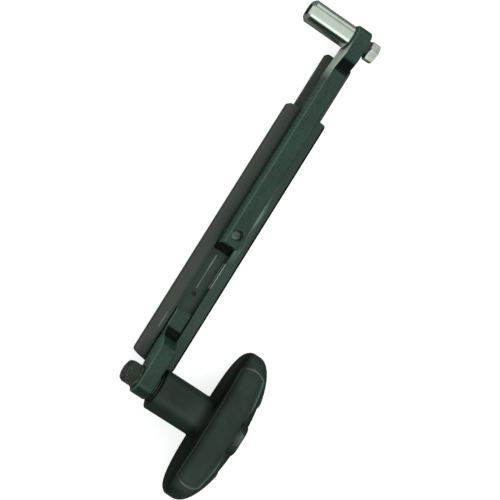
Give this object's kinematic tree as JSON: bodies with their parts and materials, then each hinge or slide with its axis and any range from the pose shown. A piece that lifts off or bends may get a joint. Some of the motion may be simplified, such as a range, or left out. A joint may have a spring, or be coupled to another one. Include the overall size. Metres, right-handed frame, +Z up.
{
  "type": "winch handle",
  "caption": "Telescopic winch handle: square drive socket on a sliding arm, detented in a C-rail that carries a spinning T-shaped palm grip.",
  "frame": {"origin": "centre of the drive socket's mouth", "axes": "+X along the drive axis into the socket, towards the grip side; +Y along the arm, away from the grip; +Z up, out of the rail's open face"},
  "size_m": [0.1081, 0.3111, 0.0359],
  "materials": {
    "rail_black": "matte brownish-black anodised rail",
    "plate_black": "matte black plate",
    "forged_black": "semi-gloss greenish-black coating on a forging",
    "steel_black": "black oxide, lightly oiled",
    "steel_dark": "dark phosphated steel",
    "steel_dull": "dull zinc",
    "steel_bright": "polished ball steel",
    "socket_chrome": "bright plated, turned",
    "zinc_steel": "bright zinc",
    "nylon_black": "moulded nylon",
    "nylon_insert": "moulded nylon",
    "grip_plastic": "fine matte moulded black plastic",
    "cap_plastic": "matte moulded black plastic"
  },
  "bodies": {
    "rail": {"outer_rail": "rail_black", "grip_bracket": "forged_black", "bracket_screws": "steel_dark", "grip_spindle": "steel_black", "spindle_bush": "steel_dull", "eye_washer": "steel_black", "thrust_washer": "nylon_black", "nut_washer": "steel_black", "grip_nut": "steel_black", "grip_nut_insert": "nylon_insert"},
    "slider": {"slide_plate": "plate_black", "socket_arm": "forged_black", "arm_rivets": "steel_dark", "detent_plunger": "steel_dull", "detent_spring": "steel_dull", "drive_socket": "socket_chrome", "socket_collar": "steel_black", "socket_nut_washer": "steel_black", "socket_lock_washer": "steel_black", "socket_nut": "zinc_steel"},
    "ball": {"detent_ball": "steel_bright"},
    "grip": {"grip_body": "grip_plastic", "grip_cap": "cap_plastic"}
  },
  "joints": [
    {"name": "arm_slide", "type": "slide", "parent": "rail", "child": "slider", "axis": [0, 1, 0], "range_m": [-0.043, 0]},
    {"name": "detent_drop", "type": "slide", "parent": "slider", "child": "ball", "axis": [0, 0, 1], "range_m": [-0.0008, 0], "stiffness_N_per_m": 4000, "springref_m": -0.0008, "deforming": ["detent_spring"]},
    {"name": "grip_spin", "type": "hinge", "parent": "rail", "child": "grip", "pos_m": [0.0375, -0.25, 0], "axis": [1, 0, 0], "continuous": true}
  ]
}
